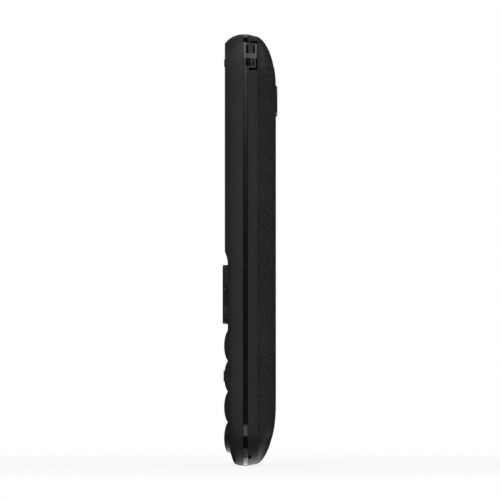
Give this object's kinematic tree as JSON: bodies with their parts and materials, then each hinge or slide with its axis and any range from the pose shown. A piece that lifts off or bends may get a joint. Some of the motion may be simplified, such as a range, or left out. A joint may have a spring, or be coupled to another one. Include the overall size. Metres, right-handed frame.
{
  "type": "keypad mobile phone",
  "caption": "Bar-shaped keypad phone with domed number keys, a glossy middle band and a dished slip-off rear cover.",
  "frame": {"origin": "under the middle of the phone's bottom edge, at its lowest point", "axes": "+Z along the phone's length towards the earpiece, the front faces -Y, +X is the right-hand side seen from the front"},
  "size_m": [0.05, 0.015, 0.118],
  "materials": {
    "front_shell": "fine matte soft-touch",
    "window": "polished",
    "grille": "satin",
    "nav_keys": "satin",
    "number_keys": "satin",
    "rubber": "matte",
    "film": "translucent film",
    "metal": "satin",
    "display": "polished",
    "white_plastic": "matte",
    "board": "solder resist",
    "chip": "moulded",
    "frame_gloss": "high gloss",
    "cover": "fine ridges and satin strip",
    "battery_wrap": "wrapped foil",
    "inner_plastic": "moulded",
    "bezel": "gloss",
    "lamp": "clear",
    "contact_gold": "plated"
  },
  "bodies": {
    "root": {"antenna": "contact_gold", "antenna_carrier": "inner_plastic", "backlight": "white_plastic", "battery_contacts": "inner_plastic", "camera_bezel": "bezel", "camera_glass": "window", "camera_module": "inner_plastic", "charging_socket": "metal", "chips": "chip", "display_gasket": "rubber", "display_glass": "display", "display_ribbon": "film", "display_tray": "metal", "display_window": "window", "dome_film": "film", "earpiece_grille": "grille", "earpiece_receiver": "metal", "flash_lamp": "lamp", "frame_screws": "metal", "front_housing": "front_shell", "headset_socket": "inner_plastic", "key_domes": "metal", "keypad_web": "rubber", "loudspeaker": "inner_plastic", "main_board": "board", "memory_card_holder": "metal", "microphone": "metal", "microphone_boot": "rubber", "middle_frame": "frame_gloss", "processor_shield": "metal", "radio_shield": "metal", "sim_holder": "metal", "speaker_mesh": "film", "vibration_motor": "metal"},
    "select_key": {"select_key": "nav_keys"},
    "soft_key_left": {"soft_key_left": "nav_keys"},
    "soft_key_right": {"soft_key_right": "nav_keys"},
    "call_key": {"call_key": "nav_keys"},
    "end_key": {"end_key": "nav_keys"},
    "key_star": {"key_star": "number_keys"},
    "key_0": {"key_0": "number_keys"},
    "key_hash": {"key_hash": "number_keys"},
    "key_7": {"key_7": "number_keys"},
    "key_8": {"key_8": "number_keys"},
    "key_9": {"key_9": "number_keys"},
    "key_4": {"key_4": "number_keys"},
    "key_5": {"key_5": "number_keys"},
    "key_6": {"key_6": "number_keys"},
    "key_1": {"key_1": "number_keys"},
    "key_2": {"key_2": "number_keys"},
    "key_3": {"key_3": "number_keys"},
    "rocker_base": {"rocker_base": "rubber"},
    "navigation_ring": {"navigation_ring": "nav_keys"},
    "rear_cover": {"rear_cover": "cover"},
    "battery": {"battery": "battery_wrap"},
    "motor_weight": {"motor_weight": "metal"}
  },
  "joints": [
    {"name": "select_key_press", "type": "slide", "parent": "root", "child": "select_key", "axis": [0, 1, 0], "range_m": [0, 0.0004], "stiffness_N_per_m": 1500},
    {"name": "soft_key_left_press", "type": "slide", "parent": "root", "child": "soft_key_left", "axis": [0, 1, 0], "range_m": [0, 0.0004], "stiffness_N_per_m": 1500},
    {"name": "soft_key_right_press", "type": "slide", "parent": "root", "child": "soft_key_right", "axis": [0, 1, 0], "range_m": [0, 0.0004], "stiffness_N_per_m": 1500},
    {"name": "call_key_press", "type": "slide", "parent": "root", "child": "call_key", "axis": [0, 1, 0], "range_m": [0, 0.0004], "stiffness_N_per_m": 1500},
    {"name": "end_key_press", "type": "slide", "parent": "root", "child": "end_key", "axis": [0, 1, 0], "range_m": [0, 0.0004], "stiffness_N_per_m": 1500},
    {"name": "key_star_press", "type": "slide", "parent": "root", "child": "key_star", "axis": [0, 1, 0], "range_m": [0, 0.0004], "stiffness_N_per_m": 1500},
    {"name": "key_0_press", "type": "slide", "parent": "root", "child": "key_0", "axis": [0, 1, 0], "range_m": [0, 0.0004], "stiffness_N_per_m": 1500},
    {"name": "key_hash_press", "type": "slide", "parent": "root", "child": "key_hash", "axis": [0, 1, 0], "range_m": [0, 0.0004], "stiffness_N_per_m": 1500},
    {"name": "key_7_press", "type": "slide", "parent": "root", "child": "key_7", "axis": [0, 1, 0], "range_m": [0, 0.0004], "stiffness_N_per_m": 1500},
    {"name": "key_8_press", "type": "slide", "parent": "root", "child": "key_8", "axis": [0, 1, 0], "range_m": [0, 0.0004], "stiffness_N_per_m": 1500},
    {"name": "key_9_press", "type": "slide", "parent": "root", "child": "key_9", "axis": [0, 1, 0], "range_m": [0, 0.0004], "stiffness_N_per_m": 1500},
    {"name": "key_4_press", "type": "slide", "parent": "root", "child": "key_4", "axis": [0, 1, 0], "range_m": [0, 0.0004], "stiffness_N_per_m": 1500},
    {"name": "key_5_press", "type": "slide", "parent": "root", "child": "key_5", "axis": [0, 1, 0], "range_m": [0, 0.0004], "stiffness_N_per_m": 1500},
    {"name": "key_6_press", "type": "slide", "parent": "root", "child": "key_6", "axis": [0, 1, 0], "range_m": [0, 0.0004], "stiffness_N_per_m": 1500},
    {"name": "key_1_press", "type": "slide", "parent": "root", "child": "key_1", "axis": [0, 1, 0], "range_m": [0, 0.0004], "stiffness_N_per_m": 1500},
    {"name": "key_2_press", "type": "slide", "parent": "root", "child": "key_2", "axis": [0, 1, 0], "range_m": [0, 0.0004], "stiffness_N_per_m": 1500},
    {"name": "key_3_press", "type": "slide", "parent": "root", "child": "key_3", "axis": [0, 1, 0], "range_m": [0, 0.0004], "stiffness_N_per_m": 1500},
    {"name": "navigation_up_down", "type": "hinge", "parent": "root", "child": "rocker_base", "pos_m": [0, -0.00549, 0.0468], "axis": [1, 0, 0], "range_deg": [-2.5, 2.5], "stiffness_Nm_per_rad": 0.3},
    {"name": "navigation_left_right", "type": "hinge", "parent": "rocker_base", "child": "navigation_ring", "pos_m": [0, -0.00549, 0.0468], "axis": [0, 0, 1], "range_deg": [-2.5, 2.5], "stiffness_Nm_per_rad": 0.3},
    {"name": "cover_off", "type": "slide", "parent": "root", "child": "rear_cover", "axis": [0, 1, 0], "range_m": [0, 0.03]},
    {"name": "battery_out", "type": "slide", "parent": "root", "child": "battery", "axis": [0, 1, 0], "range_m": [0, 0.015]},
    {"name": "motor_spin", "type": "hinge", "parent": "root", "child": "motor_weight", "pos_m": [0.016, 0.0008, 0.0925], "axis": [1, 0, 0], "continuous": true}
  ],
  "couplings": [
    {"joint": "battery_out", "follows": "cover_off", "ratio": 0.5}
  ]
}
